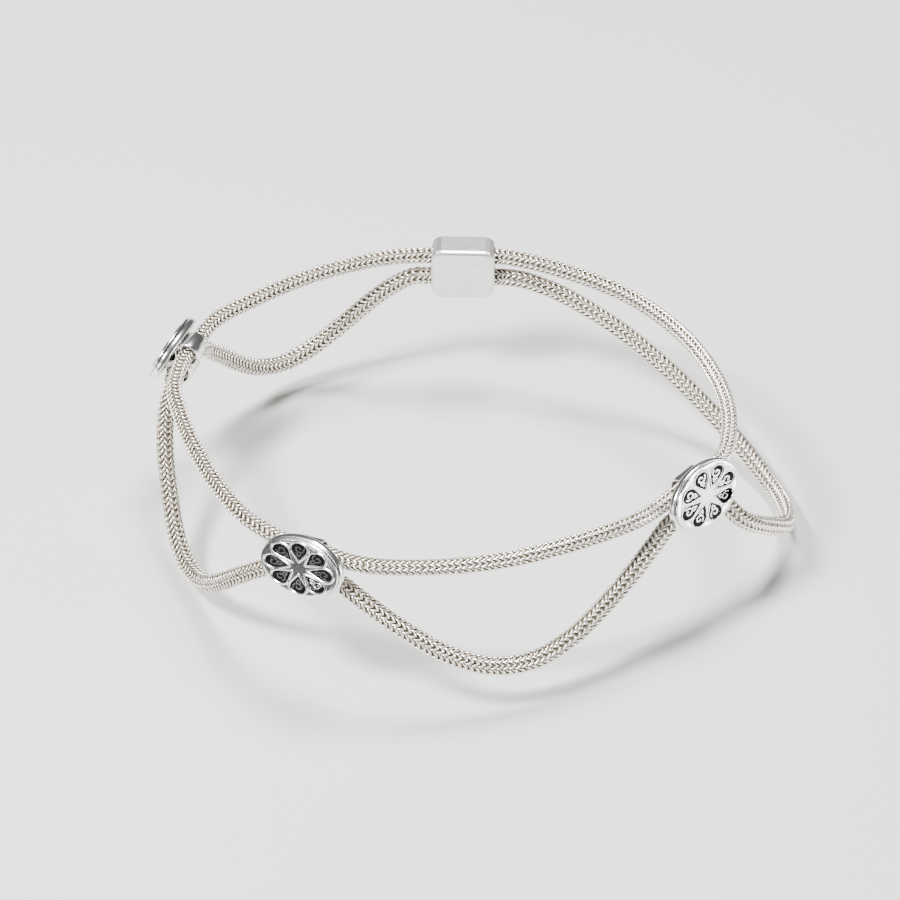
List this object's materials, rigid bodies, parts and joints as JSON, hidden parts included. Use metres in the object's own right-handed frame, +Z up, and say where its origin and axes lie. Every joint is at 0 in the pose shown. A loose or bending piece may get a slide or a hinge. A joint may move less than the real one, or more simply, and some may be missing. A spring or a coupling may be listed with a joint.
{
  "type": "payal anklet",
  "caption": "Silver payal anklet of two knitted round chains, the lower one hung in swags, held by oval medallions with sunk petals and closed by a plain clasp.",
  "frame": {"origin": "centre of the ankle opening at the level of the upper chain", "axes": "+Z up the leg, -Y to the front, +X to the right as seen from the front"},
  "size_m": [0.0891, 0.0806, 0.0237],
  "materials": {
    "medallion": "polished",
    "chain": "satin",
    "clasp": "polished"
  },
  "bodies": {
    "root": {"medallion_1": "medallion", "medallion_2": "medallion", "medallion_3": "medallion", "upper_chain": "chain", "lower_chain": "chain", "clasp": "clasp"}
  },
  "joints": []
}
